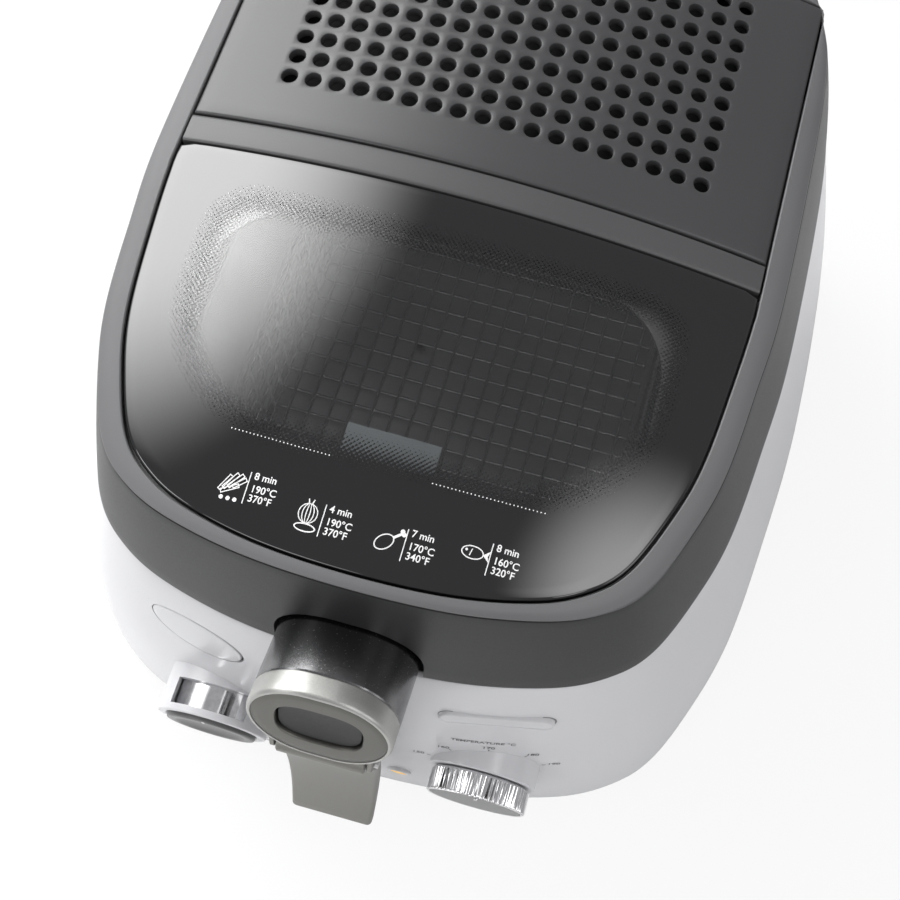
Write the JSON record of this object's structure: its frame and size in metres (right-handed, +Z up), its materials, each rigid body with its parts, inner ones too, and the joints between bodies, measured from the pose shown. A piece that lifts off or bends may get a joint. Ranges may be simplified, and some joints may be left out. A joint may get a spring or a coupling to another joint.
{
  "type": "deep fryer",
  "caption": "Household deep fryer with a flared body, hinged windowed lid with filter cover, oil pan, lifting basket, folding front handle and two rotary controls.",
  "frame": {"origin": "middle of the fryer's outline, on the surface that its feet stand on", "axes": "+Z up, -Y out of the front with the handle, +X to the right seen from the front"},
  "size_m": [0.3376, 0.408, 0.245],
  "materials": {
    "white_shell": "gloss",
    "dark_frame": "satin",
    "black_glass": "gloss",
    "filter_grey": "satin",
    "liner_steel": "satin",
    "pan_coating": "satin",
    "basket_wire": "polished",
    "seal_rubber": "matte",
    "filter_felt": "matte",
    "barrel_gloss": "gloss",
    "collar_silver": "satin",
    "button_dark": "satin",
    "lever_grey": "satin",
    "knob_chrome": "polished",
    "face_grey": "satin",
    "dial_grey": "satin",
    "lamp_amber": "gloss",
    "inner_black": "matte",
    "steel": "satin",
    "tab_grey": "satin"
  },
  "bodies": {
    "housing": {"outer_body": "white_shell", "inner_deck": "inner_black", "oil_pan": "pan_coating", "heating_ring": "steel", "heat_sensor": "steel", "pan_posts": "steel", "base_plate": "inner_black", "feet": "seal_rubber", "base_screws": "steel", "handle_barrel": "barrel_gloss", "handle_collar": "collar_silver", "lever_pin": "steel", "thermostat_boss": "white_shell", "thermostat_unit": "inner_black", "timer_cup": "white_shell", "timer_unit": "inner_black", "lamp_lens": "lamp_amber", "release_guide": "inner_black", "bare_plate": "white_shell", "cord_gland": "inner_black", "latch_stand": "steel", "hinge_brackets": "inner_black", "hinge_pin": "steel"},
    "lid": {"lid_frame": "dark_frame", "lid_window": "black_glass", "lid_liner": "liner_steel", "lid_seal": "seal_rubber", "window_tab": "tab_grey", "filter_tray": "inner_black", "filter_mat": "filter_felt", "lid_catch": "inner_black"},
    "cover": {"filter_cover": "filter_grey"},
    "release": {"release_button": "white_shell"},
    "latch": {"latch_hook": "steel"},
    "thermostat_knob": {"knob_ring": "knob_chrome", "knob_face": "face_grey", "thermostat_shaft": "steel"},
    "timer_knob": {"timer_drum": "knob_chrome", "timer_face": "dial_grey", "timer_shaft": "steel"},
    "lever": {"handle_lever": "lever_grey"},
    "grip_button": {"handle_button": "button_dark"},
    "basket": {"fry_basket": "basket_wire", "basket_arm": "steel"}
  },
  "joints": [
    {"name": "lid_hinge", "type": "hinge", "parent": "housing", "child": "lid", "pos_m": [0, 0.195, 0.176], "axis": [-1, 0, 0], "range_deg": [0, 80]},
    {"name": "cover_lift", "type": "slide", "parent": "lid", "child": "cover", "axis": [0, 0, 1], "range_m": [0, 0.03]},
    {"name": "release_push", "type": "slide", "parent": "housing", "child": "release", "axis": [0.2041, 0.9602, -0.1908], "range_m": [0, 0.003], "stiffness_N_per_m": 900},
    {"name": "latch_swing", "type": "hinge", "parent": "housing", "child": "latch", "pos_m": [-0.06, -0.133, 0.148], "axis": [-1, 0, 0], "range_deg": [0, 10]},
    {"name": "thermostat_turn", "type": "hinge", "parent": "housing", "child": "thermostat_knob", "pos_m": [0.059, -0.1843, 0.079], "axis": [0, 1, 0], "range_deg": [0, 270]},
    {"name": "timer_turn", "type": "hinge", "parent": "housing", "child": "timer_knob", "pos_m": [-0.059, -0.1843, 0.079], "axis": [0, 1, 0], "range_deg": [0, 330]},
    {"name": "lever_fold", "type": "hinge", "parent": "housing", "child": "lever", "pos_m": [0, -0.18753, 0.15915], "axis": [-1, 0, 0], "range_deg": [0, 80]},
    {"name": "grip_button_push", "type": "slide", "parent": "housing", "child": "grip_button", "axis": [0, 0.9532, -0.3024], "range_m": [0, 0.003], "stiffness_N_per_m": 900},
    {"name": "basket_lift", "type": "slide", "parent": "housing", "child": "basket", "axis": [0, 0, 1], "range_m": [0, 0.035]}
  ],
  "couplings": [
    {"joint": "latch_swing", "follows": "release_push", "rad_per_m": 58.12},
    {"joint": "lever_fold", "follows": "basket_lift", "rad_per_m": 39.853}
  ]
}
